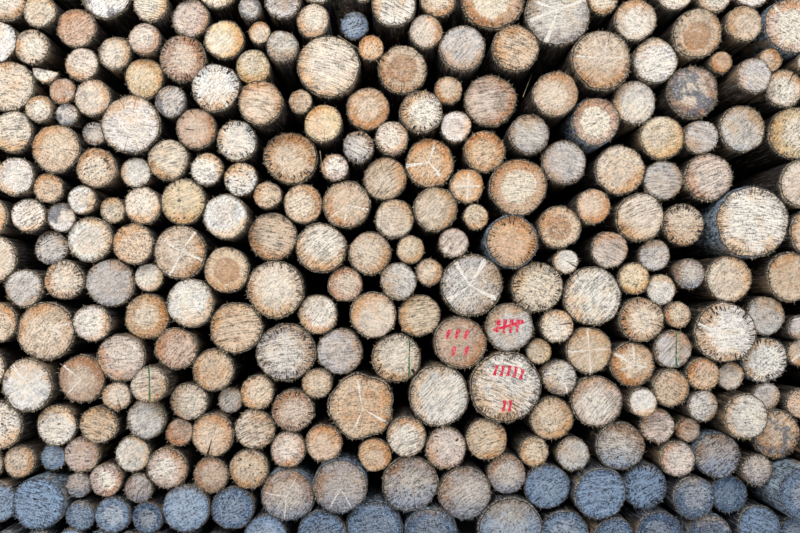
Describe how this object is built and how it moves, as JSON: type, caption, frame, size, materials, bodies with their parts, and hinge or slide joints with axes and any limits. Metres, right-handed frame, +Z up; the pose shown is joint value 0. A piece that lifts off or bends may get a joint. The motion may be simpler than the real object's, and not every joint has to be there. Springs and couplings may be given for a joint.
{
  "type": "stack of round logs",
  "caption": "Free-standing stack of round softwood logs laid parallel in uneven courses, sawn ends to the front, with leaning ends and an uneven crest.",
  "frame": {"origin": "middle of the stack's footprint on the ground, at the centre of its bounding box", "axes": "+Z up, +Y along the logs from the front ends to the back ends, X across the front of the stack"},
  "size_m": [6.7658, 5.2054, 3.0707],
  "materials": {
    "log_wood": "rough-sawn softwood ends, pale cream to tan, in thin grey-brown bark"
  },
  "bodies": {
    "root": {"logs_course_01": "log_wood", "logs_course_02": "log_wood", "logs_course_03": "log_wood", "logs_course_04": "log_wood", "logs_course_05": "log_wood", "logs_course_06": "log_wood", "logs_course_07": "log_wood", "logs_course_08": "log_wood", "logs_course_09": "log_wood", "logs_course_10": "log_wood", "logs_course_11": "log_wood", "logs_course_12": "log_wood", "logs_course_13": "log_wood", "logs_course_14": "log_wood", "logs_course_15": "log_wood", "logs_course_16": "log_wood", "logs_course_17": "log_wood", "logs_course_18": "log_wood"}
  },
  "joints": []
}
